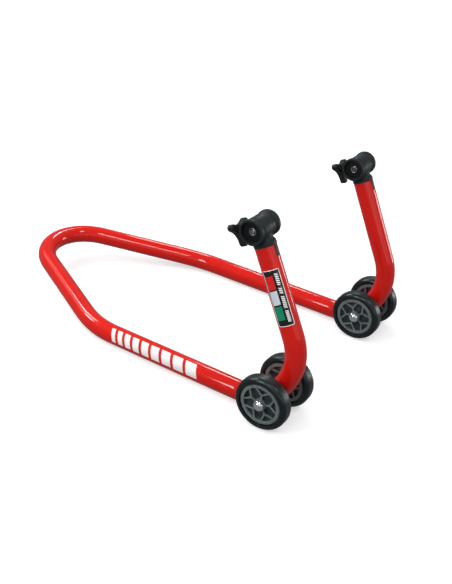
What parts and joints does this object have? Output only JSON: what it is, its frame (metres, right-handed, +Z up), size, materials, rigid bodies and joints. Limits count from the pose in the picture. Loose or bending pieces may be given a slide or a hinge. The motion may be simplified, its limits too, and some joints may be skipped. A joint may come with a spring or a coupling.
{
  "type": "paddock stand",
  "caption": "Rear paddock stand: one bent tube frame on twin small wheels each side, with upright arms carrying clamping heads for support rods.",
  "frame": {"origin": "on the floor, in the middle of the stand's footprint", "axes": "+X from the handle to the uprights, +Y to the left when standing at the handle and facing the uprights, +Z up"},
  "size_m": [0.7524, 0.5066, 0.3685],
  "materials": {
    "frame_paint": "glossy red powder coat",
    "zinc_steel": "bright zinc plate",
    "spring_steel": "dark spring steel",
    "chrome": "bright chrome",
    "brass": "turned brass",
    "head_plastic": "fine grained black moulding",
    "knob_plastic": "black moulding, a little shinier on its edges",
    "tyre_rubber": "smooth satin black rubber",
    "rim_plastic": "satin dark grey moulding",
    "bush_nylon": "natural nylon",
    "label_print": "glossy printed film with plain blocks",
    "stripe_white": "white cut film"
  },
  "bodies": {
    "frame": {"frame_tube": "frame_paint", "axle_sleeve_right": "frame_paint", "axle_welds_right": "frame_paint", "axle_right": "zinc_steel", "thrust_washers_right": "zinc_steel", "push_rings_right": "spring_steel", "axle_caps_right": "chrome", "head_right": "head_plastic", "bore_liner_right": "zinc_steel", "clamp_insert_right": "brass", "upright_label_right": "label_print", "side_stripe_right": "stripe_white", "axle_sleeve_left": "frame_paint", "axle_welds_left": "frame_paint", "axle_left": "zinc_steel", "thrust_washers_left": "zinc_steel", "push_rings_left": "spring_steel", "axle_caps_left": "chrome", "head_left": "head_plastic", "bore_liner_left": "zinc_steel", "clamp_insert_left": "brass", "upright_label_left": "label_print", "side_stripe_left": "stripe_white"},
    "wheel_right_outer": {"tyre_right_outer": "tyre_rubber", "rim_right_outer": "rim_plastic", "hub_bush_right_outer": "bush_nylon"},
    "wheel_right_inner": {"tyre_right_inner": "tyre_rubber", "rim_right_inner": "rim_plastic", "hub_bush_right_inner": "bush_nylon"},
    "pad_right": {"pressure_pad_right": "zinc_steel"},
    "clamp_right": {"clamp_screw_right": "zinc_steel", "knob_right": "knob_plastic"},
    "wheel_left_outer": {"tyre_left_outer": "tyre_rubber", "rim_left_outer": "rim_plastic", "hub_bush_left_outer": "bush_nylon"},
    "wheel_left_inner": {"tyre_left_inner": "tyre_rubber", "rim_left_inner": "rim_plastic", "hub_bush_left_inner": "bush_nylon"},
    "pad_left": {"pressure_pad_left": "zinc_steel"},
    "clamp_left": {"clamp_screw_left": "zinc_steel", "knob_left": "knob_plastic"}
  },
  "joints": [
    {"name": "wheel_right_outer_spin", "type": "hinge", "parent": "frame", "child": "wheel_right_outer", "pos_m": [0.3254, -0.231, 0.0508], "axis": [0, 1, 0], "continuous": true},
    {"name": "wheel_right_inner_spin", "type": "hinge", "parent": "frame", "child": "wheel_right_inner", "pos_m": [0.3254, -0.148, 0.0508], "axis": [0, 1, 0], "continuous": true},
    {"name": "clamp_right_slide", "type": "slide", "parent": "frame", "child": "pad_right", "axis": [0.9011, 0, 0.4337], "range_m": [-0.0031, 0.0046]},
    {"name": "clamp_right_turn", "type": "hinge", "parent": "pad_right", "child": "clamp_right", "pos_m": [0.23168, -0.1895, 0.33173], "axis": [0.9011, 0, 0.4337], "range_deg": [-720, 1080]},
    {"name": "wheel_left_outer_spin", "type": "hinge", "parent": "frame", "child": "wheel_left_outer", "pos_m": [0.3254, 0.231, 0.0508], "axis": [0, 1, 0], "continuous": true},
    {"name": "wheel_left_inner_spin", "type": "hinge", "parent": "frame", "child": "wheel_left_inner", "pos_m": [0.3254, 0.148, 0.0508], "axis": [0, 1, 0], "continuous": true},
    {"name": "clamp_left_slide", "type": "slide", "parent": "frame", "child": "pad_left", "axis": [0.9011, 0, 0.4337], "range_m": [-0.0031, 0.0046]},
    {"name": "clamp_left_turn", "type": "hinge", "parent": "pad_left", "child": "clamp_left", "pos_m": [0.23168, 0.1895, 0.33173], "axis": [0.9011, 0, 0.4337], "range_deg": [-720, 1080]}
  ],
  "couplings": [
    {"joint": "clamp_right_slide", "follows": "clamp_right_turn", "m_per_rad": 0.00023873},
    {"joint": "clamp_left_slide", "follows": "clamp_left_turn", "m_per_rad": 0.00023873}
  ]
}
